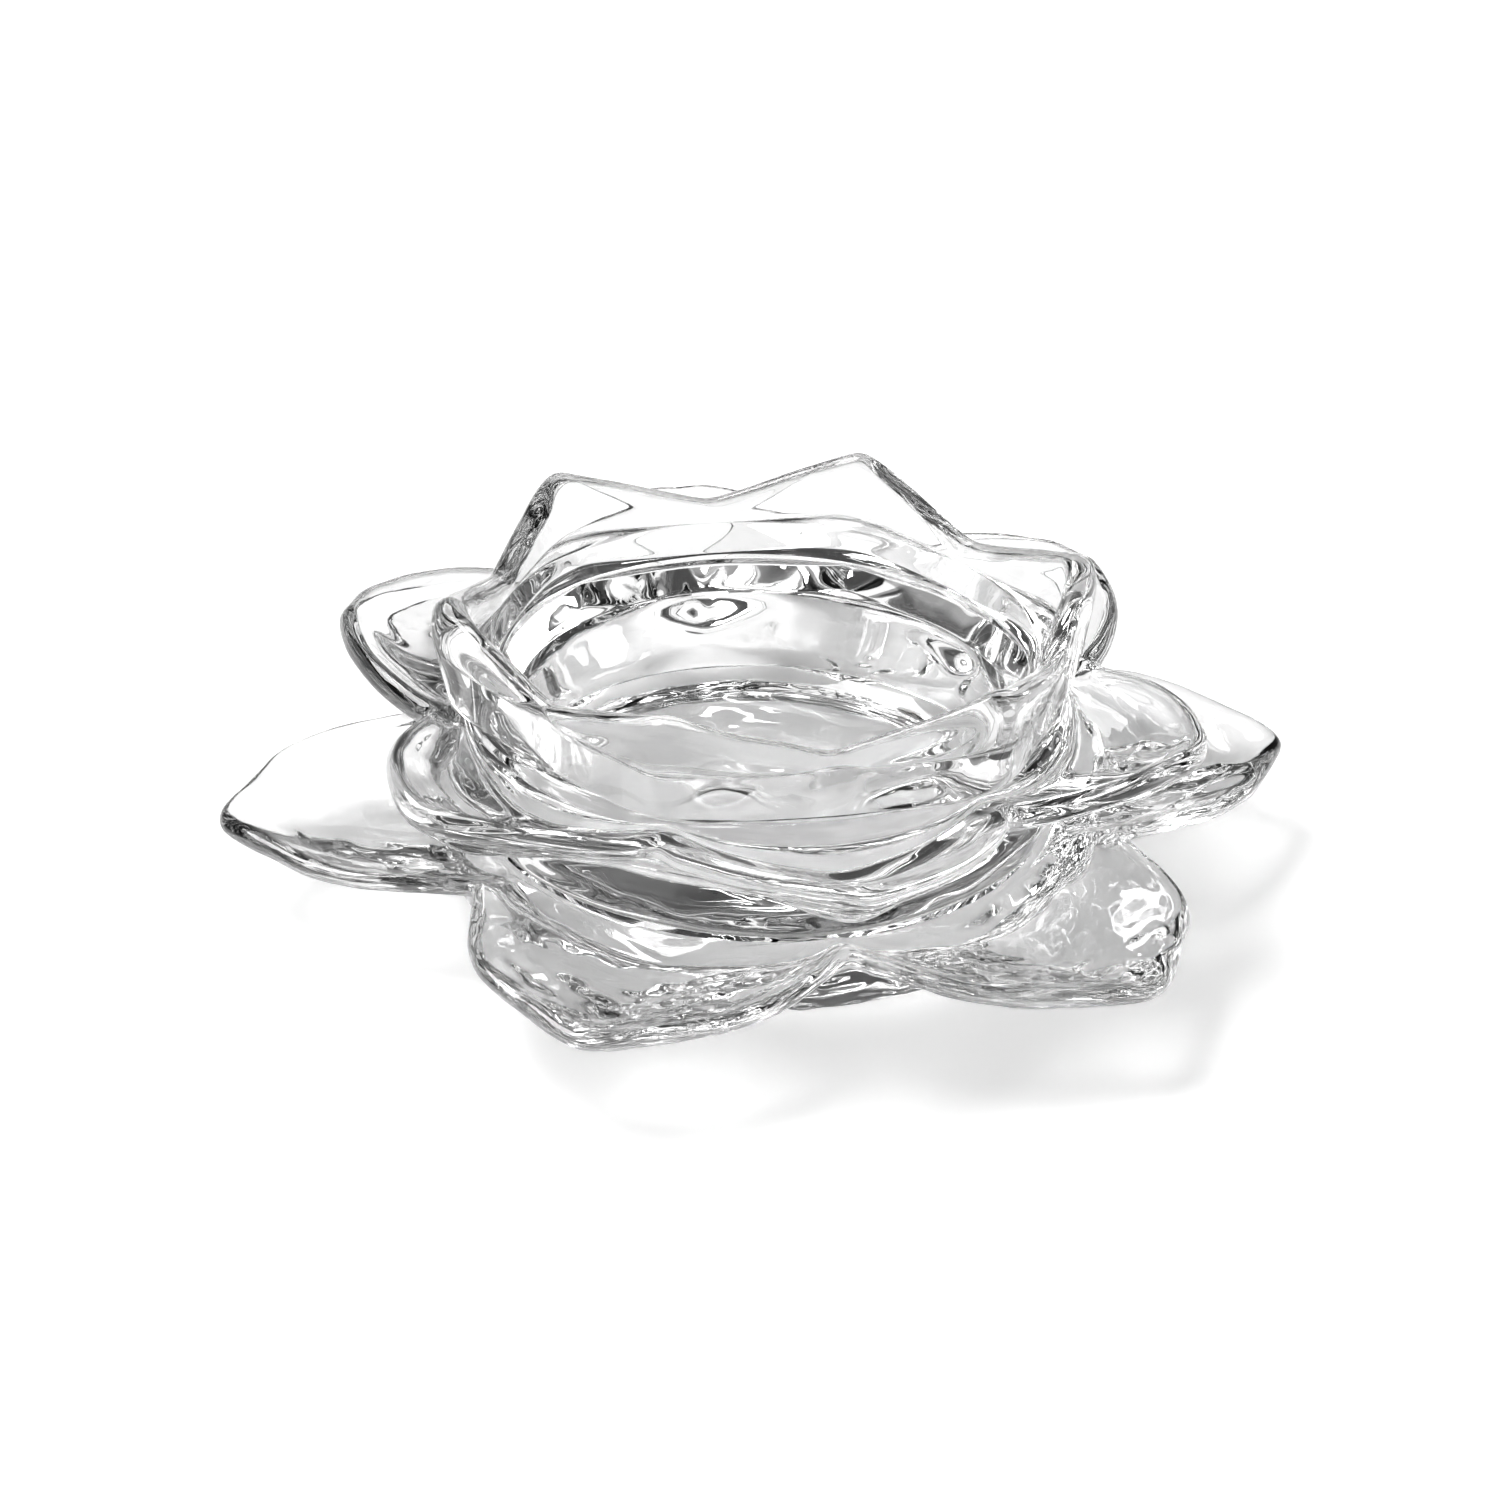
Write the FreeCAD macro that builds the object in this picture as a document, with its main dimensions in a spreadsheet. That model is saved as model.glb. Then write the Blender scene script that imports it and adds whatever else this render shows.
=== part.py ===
import FreeCAD, Part
import math
import os
import Sketcher

# Lotus candle bowl of clear pressed glass: three tiers of six petals, bonded one on another.
# Millimetres, +Z up. The origin is the middle of the foot, on the surface that it stands on.
# A petal of the lower dish and a corner of the crown lie on +X; the middle petals lie between.

os.makedirs("parts", exist_ok=True)
doc = FreeCAD.newDocument("lotus_candle_bowl")
sheet = doc.addObject("Spreadsheet::Sheet", "sizes")

PETALS = 6
FULL_TURN = 360
HALF_PETAL_TURN = FULL_TURN / PETALS / 2
UP = FreeCAD.Vector(0, 0, 1)

# How near an edge must lie to the place where it is looked for, as a share of its radius or turn.
MATCH_SHARE = 0.001

DRIVING_SIZES = (
    ("low_tip_radius", 54.8, "axis to the tip of a lower petal"),
    ("low_half_width", 19.8, "half the width of a lower petal at its root"),
    ("low_rim_height", 10.2, "stood-on surface to the top of the lower petals' rims"),
    ("low_rim_thickness", 1.8, "thickness of the lower petals at their rims"),
    ("low_scoop_depth", 5.8, "rim down to the crease of a lower petal, at its deepest"),
    ("low_keel_depth", 8.8, "rim down to the keel under a lower petal, at its deepest"),
    ("foot_radius", 31.0, "flat foot, outside"),
    ("foot_hollow_radius", 25.0, "hollow in the foot, outside"),
    ("foot_hollow_depth", 1.6, "depth of the hollow in the foot"),
    ("plinth_radius", 33.0, "round plinth under the lower petals, at its top"),
    ("low_seat_radius", 29.0, "ground seat for the middle tier"),
    ("low_seat_height", 6.2, "height of that seat"),
    ("bond_thickness", 0.2, "each film of clear adhesive"),
    ("bond_margin", 0.5, "how far a film stops short of the edge of its seat"),
    ("mid_tip_radius", 45.0, "axis to the tip of a middle petal"),
    ("mid_root_radius", 18.0, "axis to where the middle petals begin, inside the bowl"),
    ("mid_half_width", 17.8, "half the width of a middle petal at its widest"),
    ("mid_tip_lift", 1.9, "shoulder round the crown up to the tops of the middle petals' tips"),
    ("mid_rim_thickness", 2.0, "thickness of the middle petals at their rims"),
    ("mid_valley_drop", 3.0, "how far the rims fall from the tips to the valleys"),
    ("mid_scoop_depth", 2.5, "rim down to the crease of a middle petal, at its deepest"),
    ("mid_keel_depth", 11.5, "tip down to the keel under a middle petal, at its deepest"),
    ("floor_thickness", 2.6, "glass under the floor of the bowl"),
    ("floor_radius", 19.4, "flat floor, which a tealight of 38 mm stands on"),
    ("cove_round", 4.2, "curve between floor and wall"),
    ("bowl_mouth_radius", 24.6, "inside of the bowl where the crown sits on it"),
    ("bowl_depth", 8.6, "bowl floor up to the crown"),
    ("spigot_radius", 27.4, "round foot of the crown, outside"),
    ("spigot_length", 2.3, "how deep the foot of the crown stands in its socket"),
    ("socket_clearance", 0.2, "round the foot of the crown"),
    ("socket_wall", 2.4, "wall of the middle tier round the foot of the crown"),
    ("shoulder_round", 0.7, "rounding of that shoulder"),
    ("ledge_radius", 27.0, "ledge inside the crown"),
    ("ledge_rise", 6.9, "joint up to the ledge"),
    ("crown_flat_radius", 29.7, "axis to the flat sides of the crown at the belly"),
    ("crown_wall", 2.5, "wall of the crown's petals"),
    ("peak_rise", 14.1, "joint up to the peaks of the crown"),
    ("valley_rise", 9.1, "joint up to the valleys between them"),
    ("valley_round", 9.0, "rounding in the bottom of each valley"),
    ("peak_round", 3.0, "rounding over each peak"),
    ("lip_round", 1.05, "rounding of the crown's lip"),
    ("foot_round", 0.8, "rounding of the foot's edge"),
    ("overrun_length", 3.0, "how far a cut runs past the glass"),
)


class Size:
    """A length together with the formula that binds it to the sheet."""

    def __init__(self, number, formula):
        self.number = number
        self.formula = formula

    def joined(self, other, sign, number):
        text = other.formula if isinstance(other, Size) else repr(other)
        return Size(number, "(" + self.formula + sign + text + ")")

    def __add__(self, other):
        return self.joined(other, " + ", self.number + other.number)

    def __sub__(self, other):
        return self.joined(other, " - ", self.number - other.number)

    def __mul__(self, share):
        return self.joined(share, " * ", self.number * share)

    def __truediv__(self, share):
        return self.joined(share, " / ", self.number / share)

    def __neg__(self):
        return Size(-self.number, "(0 - " + self.formula + ")")


def fill_sheet():
    """Write the driving sizes into the sheet and hand them back by name."""
    sizes = {}
    for row, (name, value, meaning) in enumerate(DRIVING_SIZES, start=1):
        sheet.set(f"A{row}", meaning)
        sheet.set(f"B{row}", str(value))
        sheet.setAlias(f"B{row}", name)
        sizes[name] = Size(value, "sizes." + name)
    doc.recompute()
    return sizes


size = fill_sheet()
ZERO = size["overrun_length"] * 0

# Heights of the faces where the pieces meet, and of the floor between them.
MIDDLE_BASE = size["low_seat_height"] + size["bond_thickness"]
BOWL_FLOOR = MIDDLE_BASE + size["floor_thickness"]
CROWN_JOINT = BOWL_FLOOR + size["bowl_depth"]
SOCKET_FLOOR = CROWN_JOINT - size["bond_thickness"]
FILM_EDGE = size["low_seat_radius"] - size["bond_margin"]


def new_body(label):
    body = doc.addObject("PartDesign::Body", label)
    body.Label = label
    return body


def origin_feature(body, role):
    for feature in body.Origin.OriginFeatures:
        if feature.Role == role:
            return feature
    raise RuntimeError(f"{body.Label} has no {role}")


def new_sketch(body, name, plane, offset=None):
    """A sketch on one of the body's own planes, moved along its normal by a bound offset."""
    sketch = body.newObject("Sketcher::SketchObject", name)
    sketch.AttachmentSupport = [(origin_feature(body, plane), "")]
    sketch.MapMode = "FlatFace"
    if offset is not None:
        sketch.AttachmentOffset.Base = UP * offset.number
        sketch.setExpression("AttachmentOffset.Base.z", offset.formula)
    return sketch


def bind(sketch, name, kind, places, length):
    """Add a dimension to a sketch and bind it to the sheet."""
    index = sketch.addConstraint(Sketcher.Constraint(kind, *places, length.number))
    sketch.renameConstraint(index, name)
    sketch.setExpression("Constraints." + name, length.formula)


def tie(sketch, kind, *places):
    sketch.addConstraint(Sketcher.Constraint(kind, *places))


def place_point(sketch, name, geometry, end, across, up):
    """Hold one point of a sketch at bound distances from the sketch's axes."""
    if across is ZERO:
        tie(sketch, "PointOnObject", geometry, end, -2)
    else:
        bind(sketch, name + "_across", "DistanceX", (geometry, end), across)
    if up is ZERO:
        tie(sketch, "PointOnObject", geometry, end, -1)
    else:
        bind(sketch, name + "_up", "DistanceY", (geometry, end), up)


def polygon(sketch, corners):
    """A closed outline with straight sides through named corners."""
    spots = [FreeCAD.Vector(across.number, up.number, 0) for name, across, up in corners]
    for here, there in zip(spots, spots[1:] + spots[:1]):
        sketch.addGeometry(Part.LineSegment(here, there))
    count = len(corners)
    for index, (name, across, up) in enumerate(corners):
        tie(sketch, "Coincident", index, 2, (index + 1) % count, 1)
        place_point(sketch, name, index, 1, across, up)


def revolve(body, name, kind, corners):
    """Turn a closed outline of the radial section about the axis."""
    sketch = new_sketch(body, name + "_section", "XZ_Plane")
    polygon(sketch, corners)
    feature = body.newObject(kind, name)
    feature.Profile = sketch
    feature.ReferenceAxis = (sketch, ["V_Axis"])
    feature.Angle = FULL_TURN
    sketch.Visibility = False
    doc.recompute()
    return feature


def trim_to_sector(body, name, reach):
    """Cut a petal back to its own sixth of the ring, so that neighbours meet face to face."""
    sketch = new_sketch(body, name + "_outline", "XY_Plane")
    edge = reach * math.tan(math.radians(HALF_PETAL_TURN))
    polygon(sketch, (
        ("middle", ZERO, ZERO),
        ("left_edge", reach, edge),
        ("left_front", reach, reach),
        ("left_back", -size["overrun_length"], reach),
        ("right_back", -size["overrun_length"], -reach),
        ("right_front", reach, -reach),
        ("right_edge", reach, -edge),
    ))
    sketch.Visibility = False
    cut = body.newObject("PartDesign::Pocket", name)
    cut.Profile = sketch
    cut.SideType = "Symmetric"
    cut.Length = reach.number
    cut.setExpression("Length", reach.formula)
    doc.recompute()
    return cut


def repeat_round(body, name, feature=None):
    """Repeat a feature, or without one the whole body so far, for each petal."""
    pattern = body.newObject("PartDesign::PolarPattern", name)
    if feature is None:
        pattern.TransformMode = "Whole shape"
    else:
        pattern.Originals = [feature]
    pattern.Axis = (origin_feature(body, "Z_Axis"), [""])
    pattern.Angle = FULL_TURN
    pattern.Occurrences = PETALS
    body.Tip = pattern
    doc.recompute()
    return pattern


def round_edges(body, name, base, chosen, radius):
    """Round the edges of the base feature that the test chooses."""
    names = [f"Edge{i}" for i, edge in enumerate(base.Shape.Edges, start=1) if chosen(edge)]
    if not names:
        raise RuntimeError(f"{name} finds no edge")
    fillet = body.newObject("PartDesign::Fillet", name)
    fillet.Base = (base, names)
    fillet.Radius = radius.number
    fillet.setExpression("Radius", radius.formula)
    doc.recompute()
    return fillet


def circle_at(radius, height):
    """A test for the round edges of one radius at one height."""
    def chosen(edge):
        if edge.Degenerated or not isinstance(edge.Curve, Part.Circle):
            return False
        near = radius.number * MATCH_SHARE
        level = edge.Curve.Center.z
        return abs(edge.Curve.Radius - radius.number) < near and abs(level - height.number) < near
    return chosen


def petal_section(body, name, station, half_width, rim_top, rim_thickness, crease, keel):
    """One cross-section of a petal: a V of glass with round rims, a crease above and a keel."""
    sketch = new_sketch(body, name, "YZ_Plane", station)
    edge_round = rim_thickness / 2
    side = half_width - edge_round
    middle = rim_top - edge_round
    top = rim_top.number
    low = (rim_top - rim_thickness).number
    spots = {
        "crease": FreeCAD.Vector(0, crease.number, 0),
        "keel": FreeCAD.Vector(0, keel.number, 0),
        "right_top": FreeCAD.Vector(side.number, top, 0),
        "right_low": FreeCAD.Vector(side.number, low, 0),
        "left_top": FreeCAD.Vector(-side.number, top, 0),
        "left_low": FreeCAD.Vector(-side.number, low, 0),
    }
    right = Part.Circle(FreeCAD.Vector(side.number, middle.number, 0), UP, edge_round.number)
    left = Part.Circle(FreeCAD.Vector(-side.number, middle.number, 0), UP, edge_round.number)
    quarter = math.pi / 2
    sketch.addGeometry(Part.LineSegment(spots["crease"], spots["right_top"]))
    sketch.addGeometry(Part.ArcOfCircle(right, -quarter, quarter))
    sketch.addGeometry(Part.LineSegment(spots["right_low"], spots["keel"]))
    sketch.addGeometry(Part.LineSegment(spots["keel"], spots["left_low"]))
    sketch.addGeometry(Part.ArcOfCircle(left, quarter, 3 * quarter))
    sketch.addGeometry(Part.LineSegment(spots["left_top"], spots["crease"]))
    tie(sketch, "Coincident", 0, 2, 1, 2)
    tie(sketch, "Coincident", 1, 1, 2, 1)
    tie(sketch, "Coincident", 2, 2, 3, 1)
    tie(sketch, "Coincident", 3, 2, 4, 2)
    tie(sketch, "Coincident", 4, 1, 5, 1)
    tie(sketch, "Coincident", 5, 2, 0, 1)
    for arc in (1, 4):
        tie(sketch, "Vertical", arc, 1, arc, 3)
        tie(sketch, "Vertical", arc, 2, arc, 3)
    tie(sketch, "Equal", 1, 4)
    tie(sketch, "Symmetric", 1, 3, 4, 3, -2)
    place_point(sketch, "crease", 0, 1, ZERO, crease)
    place_point(sketch, "keel", 2, 2, ZERO, keel)
    place_point(sketch, "rim", 1, 3, side, middle)
    bind(sketch, "rim_round", "Radius", (1,), edge_round)
    sketch.Visibility = False
    return sketch


def petal_loft(body, name, sections):
    loft = body.newObject("PartDesign::AdditiveLoft", name)
    loft.Profile = sections[0]
    loft.Sections = sections[1:]
    loft.Ruled = False
    doc.recompute()
    return loft


# Each row is one cross-section, from the root inside the hub to the tip. The shares are of the
# way from root to tip, of the half width, of the scoop depth, of the keel depth and, for the
# middle tier, of the fall of the rim to the valleys.
LOW_PETAL_SHARES = (
    (0.00, 1.000, 0.90, 1.000, 0.0),
    (0.22, 0.955, 1.00, 0.970, 0.0),
    (0.44, 0.868, 0.75, 0.880, 0.0),
    (0.62, 0.775, 0.53, 0.730, 0.0),
    (0.76, 0.611, 0.42, 0.580, 0.0),
    (0.88, 0.354, 0.33, 0.420, 0.0),
    (1.00, 0.081, 0.12, 0.215, 0.0),
)
MID_PETAL_SHARES = (
    (0.000, 0.900, 0.60, 1.00, 1.00),
    (0.275, 1.000, 0.60, 1.00, 1.00),
    (0.445, 0.940, 0.50, 0.97, 0.90),
    (0.590, 0.820, 0.68, 0.90, 0.62),
    (0.750, 0.600, 1.00, 0.75, 0.30),
    (0.895, 0.315, 0.85, 0.47, 0.08),
    (1.000, 0.080, 0.20, 0.19, 0.00),
)


def petals(body, prefix, table, root, tip, half_width, rim, thickness, scoop, keel, drop):
    """Six petals, lofted through the cross-sections of the table and repeated round the axis."""
    sections = []
    for index, (reach, width, dip, depth, fall) in enumerate(table, start=1):
        station = root + (tip - root) * reach
        rim_top = rim - drop * fall
        name = f"{prefix}_section_{index}"
        crease = rim_top - scoop * dip
        lowest = rim - keel * depth
        sections.append(petal_section(
            body, name, station, half_width * width, rim_top, thickness, crease, lowest))
    petal_loft(body, prefix, sections)
    trim_to_sector(body, prefix + "_sector", tip + size["overrun_length"])
    return repeat_round(body, prefix + "_round")


# How far up the seat's height the plinth reaches its full width.
PLINTH_TOP_SHARE = 0.7


def make_lower_dish():
    """Plinth with a hollow foot, a ground seat on top, and six scooped petals."""
    body = new_body("lower_petal_dish")
    seat = size["low_seat_height"]
    foot = size["foot_radius"]
    plinth = size["plinth_radius"]
    petals(
        body, "low_petal", LOW_PETAL_SHARES, size["foot_hollow_radius"],
        size["low_tip_radius"], size["low_half_width"], size["low_rim_height"],
        size["low_rim_thickness"], size["low_scoop_depth"], size["low_keel_depth"], ZERO)
    revolve(body, "plinth", "PartDesign::Revolution", (
        ("middle_low", ZERO, ZERO),
        ("foot_edge", foot, ZERO),
        ("plinth_top", plinth, seat * PLINTH_TOP_SHARE),
        ("seat_edge", size["low_seat_radius"] + size["bond_margin"], seat),
        ("middle_top", ZERO, seat),
    ))
    hollow = size["foot_hollow_radius"]
    depth = size["foot_hollow_depth"]
    revolve(body, "foot_hollow", "PartDesign::Groove", (
        ("hollow_middle_low", ZERO, -size["overrun_length"]),
        ("hollow_mouth_low", hollow, -size["overrun_length"]),
        ("hollow_mouth", hollow, ZERO),
        ("hollow_top", hollow - depth, depth),
        ("hollow_middle", ZERO, depth),
    ))
    above = size["overrun_length"] + size["low_rim_height"]
    cut = revolve(body, "seat_clearing", "PartDesign::Groove", (
        ("clearing_middle", ZERO, seat),
        ("clearing_edge", size["low_seat_radius"], seat),
        ("clearing_top", size["low_seat_radius"] + (above - seat), above),
        ("clearing_middle_top", ZERO, above),
    ))
    round_edges(body, "foot_rounding", cut, circle_at(foot, ZERO), size["foot_round"])
    return body


def make_film(label, inner, outer, height):
    """A thin ring or disc of cured adhesive between two ground faces."""
    body = new_body(label)
    top = height + size["bond_thickness"]
    corners = [
        ("outer_low", outer, height),
        ("outer_top", outer, top),
        ("inner_top", inner, top),
        ("inner_low", inner, height),
    ]
    revolve(body, label + "_ring", "PartDesign::Revolution", corners)
    return body


def make_middle_bowl():
    """The round bowl that holds the tealight, with six petals and a socket for the crown."""
    body = new_body("middle_petal_bowl")
    shoulder = CROWN_JOINT + size["spigot_length"]
    rim = shoulder + size["mid_tip_lift"]
    socket = size["spigot_radius"] + size["socket_clearance"]
    outer = socket + size["socket_wall"]
    petals(
        body, "mid_petal", MID_PETAL_SHARES, size["mid_root_radius"],
        size["mid_tip_radius"], size["mid_half_width"], rim, size["mid_rim_thickness"],
        size["mid_scoop_depth"], size["mid_keel_depth"], size["mid_valley_drop"])
    revolve(body, "bowl", "PartDesign::Revolution", (
        ("base_middle", ZERO, MIDDLE_BASE),
        ("base_edge", FILM_EDGE, MIDDLE_BASE),
        ("body_side", outer, MIDDLE_BASE + size["cove_round"]),
        ("shoulder_edge", outer, shoulder),
        ("shoulder_middle", ZERO, shoulder),
    ))
    above = rim + size["overrun_length"]
    wall = size["floor_radius"] + size["cove_round"]
    recess = revolve(body, "recess", "PartDesign::Groove", (
        ("floor_middle", ZERO, BOWL_FLOOR),
        ("floor_corner", wall, BOWL_FLOOR),
        ("joint_inner", size["bowl_mouth_radius"], SOCKET_FLOOR),
        ("socket_corner", socket, SOCKET_FLOOR),
        ("socket_mouth", socket, above),
        ("socket_middle", ZERO, above),
    ))
    cove = round_edges(body, "cove", recess, circle_at(wall, BOWL_FLOOR), size["cove_round"])
    round_edges(body, "shoulder", cove, circle_at(outer, shoulder), size["shoulder_round"])
    body.Placement.Rotation = FreeCAD.Rotation(UP, HALF_PETAL_TURN)
    return body


def rounded_hexagon(body, name, height, flat, corner_round):
    """A hexagon with round corners, one of its flat sides square to +X."""
    sketch = new_sketch(body, name, "XY_Plane", height)
    half_turn = math.radians(HALF_PETAL_TURN)
    core = flat - corner_round
    half_side = core.number * math.tan(half_turn)
    for side in range(PETALS):
        turn = 2 * side * half_turn
        out = FreeCAD.Vector(math.cos(turn), math.sin(turn), 0)
        along = FreeCAD.Vector(-math.sin(turn), math.cos(turn), 0)
        middle = out * flat.number
        sketch.addGeometry(Part.LineSegment(middle - along * half_side, middle + along * half_side))
        corner = turn + half_turn
        toward = FreeCAD.Vector(math.cos(corner), math.sin(corner), 0)
        centre = toward * (core.number / math.cos(half_turn))
        circle = Part.Circle(centre, UP, corner_round.number)
        sketch.addGeometry(Part.ArcOfCircle(circle, corner - half_turn, corner + half_turn))
    count = 2 * PETALS
    for line in range(0, count, 2):
        tie(sketch, "Tangent", line, 2, line + 1, 1)
        tie(sketch, "Tangent", line + 1, 2, (line + 2) % count, 1)
    for side in range(PETALS):
        arc = 2 * side + 1
        corner = (2 * side + 1) * half_turn
        across_share = round(math.cos(corner) / math.cos(half_turn), 12)
        up_share = math.sin(corner) / math.cos(half_turn)
        across = core * across_share if across_share else ZERO
        place_point(sketch, f"corner_{side}", arc, 3, across, core * up_share)
        if side:
            tie(sketch, "Equal", 1, arc)
    bind(sketch, "corner_round", "Radius", (1,), corner_round)
    sketch.Visibility = False
    return sketch


# Each row is one level of the crown: shares of the way from the joint to the peaks, of the
# flat radius at the belly, and of the flat radius again for the rounding of the corners.
CROWN_OUTSIDE_SHARES = (
    (0.163, 0.950, 0.270),
    (0.460, 0.983, 0.235),
    (0.770, 1.000, 0.120),
    (1.080, 0.962, 0.100),
)
CROWN_INSIDE_SHARES = (
    (0.000, 0.994, 0.225),
    (0.450, 1.000, 0.110),
    (1.100, 0.958, 0.090),
)


# How far each straight flank of a valley is drawn, in half sides of the crown.
VALLEY_REACH_SHARE = 1.25


def cut_valleys(body):
    """Cut the zigzag of the lip: one round-bottomed V across each flat side."""
    sketch = new_sketch(body, "valley_outline", "YZ_Plane")
    half_turn = math.radians(HALF_PETAL_TURN)
    low = CROWN_JOINT + size["valley_rise"]
    top = CROWN_JOINT + size["peak_rise"] + size["overrun_length"]
    bend = size["valley_round"]
    centre = low + bend
    flank = size["crown_flat_radius"] * (math.tan(half_turn) * VALLEY_REACH_SHARE)
    flank_top = low + (size["peak_rise"] - size["valley_rise"]) * VALLEY_REACH_SHARE
    height = centre.number - flank_top.number
    away = math.hypot(flank.number, height)
    tilt = math.pi / 2 - math.atan2(height, flank.number) - math.acos(bend.number / away)
    touch = FreeCAD.Vector(bend.number * math.sin(tilt), -bend.number * math.cos(tilt), 0)
    middle = FreeCAD.Vector(0, centre.number, 0)
    right = middle + touch
    left = middle + FreeCAD.Vector(-touch.x, touch.y, 0)
    spots = [
        FreeCAD.Vector(flank.number, flank_top.number, 0),
        FreeCAD.Vector(flank.number, top.number, 0),
        FreeCAD.Vector(-flank.number, top.number, 0),
        FreeCAD.Vector(-flank.number, flank_top.number, 0),
    ]
    circle = Part.Circle(middle, UP, bend.number)
    sketch.addGeometry(Part.LineSegment(right, spots[0]))
    sketch.addGeometry(Part.LineSegment(spots[0], spots[1]))
    sketch.addGeometry(Part.LineSegment(spots[1], spots[2]))
    sketch.addGeometry(Part.LineSegment(spots[2], spots[3]))
    sketch.addGeometry(Part.LineSegment(spots[3], left))
    down = -math.pi / 2
    sketch.addGeometry(Part.ArcOfCircle(circle, down - tilt, down + tilt))
    for line in range(4):
        tie(sketch, "Coincident", line, 2, line + 1, 1)
    tie(sketch, "Tangent", 4, 2, 5, 1)
    tie(sketch, "Tangent", 5, 2, 0, 1)
    place_point(sketch, "bend", 5, 3, ZERO, centre)
    bind(sketch, "bend", "Radius", (5,), bend)
    place_point(sketch, "flank", 0, 2, flank, flank_top)
    place_point(sketch, "top", 1, 2, flank, top)
    place_point(sketch, "far_top", 2, 2, -flank, top)
    place_point(sketch, "far_flank", 3, 2, -flank, flank_top)
    sketch.Visibility = False
    cut = body.newObject("PartDesign::Pocket", "valley")
    cut.Profile = sketch
    cut.Reversed = True
    reach = size["crown_flat_radius"] + size["crown_wall"] + size["overrun_length"]
    cut.Length = reach.number
    cut.setExpression("Length", reach.formula)
    doc.recompute()
    return repeat_round(body, "valleys", cut)


def ridge_at_peak(height):
    """A test for the short sharp ridges that two valleys leave at each peak."""
    def chosen(edge):
        if edge.Degenerated or not isinstance(edge.Curve, Part.Line):
            return False
        ends = [vertex.Point for vertex in edge.Vertexes]
        if min(end.z for end in ends) < height.number:
            return False
        turns = [math.degrees(math.atan2(end.y, end.x)) for end in ends]
        turned = [abs(turn) % (2 * HALF_PETAL_TURN) - HALF_PETAL_TURN for turn in turns]
        return max(abs(turn) for turn in turned) < HALF_PETAL_TURN * MATCH_SHARE
    return chosen


def lip_edges(shape, height):
    """A test for the edges that bound the top of the lip, inside and outside."""
    lip = []
    for face in shape.Faces:
        low, high, near, far = face.ParameterRange
        normal = face.normalAt((low + high) / 2, (near + far) / 2)
        if face.CenterOfMass.z > height.number and normal.z > math.cos(math.pi / 4):
            lip.append(face)

    def chosen(edge):
        owners = [face for face in lip if any(edge.isSame(other) for other in face.Edges)]
        return len(owners) == 1
    return chosen


def make_crown():
    """The hexagonal crown: six upright petals that lean in at their peaks."""
    body = new_body("petal_crown")
    joint = CROWN_JOINT
    shoulder = joint + size["spigot_length"] + size["socket_clearance"]
    peak = size["peak_rise"]
    flat = size["crown_flat_radius"]
    spigot = size["spigot_radius"]
    revolve(body, "spigot", "PartDesign::Revolution", (
        ("spigot_middle", ZERO, joint),
        ("spigot_edge", spigot, joint),
        ("spigot_top", spigot, shoulder + size["socket_clearance"]),
        ("spigot_top_middle", ZERO, shoulder + size["socket_clearance"]),
    ))
    outside = []
    for index, (rise, reach, corner) in enumerate(CROWN_OUTSIDE_SHARES, start=1):
        level = shoulder if index == 1 else joint + peak * rise
        outside.append(rounded_hexagon(
            body, f"outside_{index}", level, flat * reach, flat * corner))
    petal_loft(body, "crown_outside", outside)
    ledge = joint + size["ledge_rise"]
    inner_flat = flat - size["crown_wall"]
    inside = []
    for index, (rise, reach, corner) in enumerate(CROWN_INSIDE_SHARES, start=1):
        level = ledge + (peak - size["ledge_rise"]) * rise
        inside.append(rounded_hexagon(
            body, f"inside_{index}", level, inner_flat * reach, inner_flat * corner))
    cut = body.newObject("PartDesign::SubtractiveLoft", "crown_inside")
    cut.Profile = inside[0]
    cut.Sections = inside[1:]
    cut.Ruled = False
    doc.recompute()
    above = joint + peak + size["overrun_length"]
    revolve(body, "bore", "PartDesign::Groove", (
        ("bore_middle", ZERO, joint - size["overrun_length"]),
        ("bore_low", size["bowl_mouth_radius"], joint - size["overrun_length"]),
        ("bore_joint", size["bowl_mouth_radius"], joint),
        ("bore_ledge", size["ledge_radius"], ledge),
        ("bore_top", size["ledge_radius"], above),
        ("bore_top_middle", ZERO, above),
    ))
    valleys = cut_valleys(body)
    peak_level = joint + size["valley_rise"] + (peak - size["valley_rise"]) / 2
    ridges = round_edges(body, "peaks", valleys, ridge_at_peak(peak_level), size["peak_round"])
    lip_level = joint + size["valley_rise"] - size["lip_round"]
    round_edges(body, "lip", ridges, lip_edges(ridges.Shape, lip_level), size["lip_round"])
    body.Placement.Rotation = FreeCAD.Rotation(UP, HALF_PETAL_TURN)
    return body


def check_and_write(bodies):
    """Refuse a failed feature, then write one file for each piece of glass or film."""
    doc.recompute()
    for item in doc.Objects:
        if "Invalid" in item.State or "Error" in item.State:
            raise RuntimeError(f"{item.Name} failed: {item.State}")
    for body in bodies:
        if body.Shape.isNull() or not body.Shape.isValid():
            raise RuntimeError(f"{body.Label} has no valid shape")
        if len(body.Shape.Solids) != 1:
            raise RuntimeError(f"{body.Label} has {len(body.Shape.Solids)} solids")
        body.Shape.exportStep(f"parts/{body.Label}.step")
        box = body.Shape.BoundBox
        print(f"{body.Label}: volume {body.Shape.Volume:.0f}, z {box.ZMin:.2f} to {box.ZMax:.2f},"
              f" faces {len(body.Shape.Faces)}")


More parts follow.
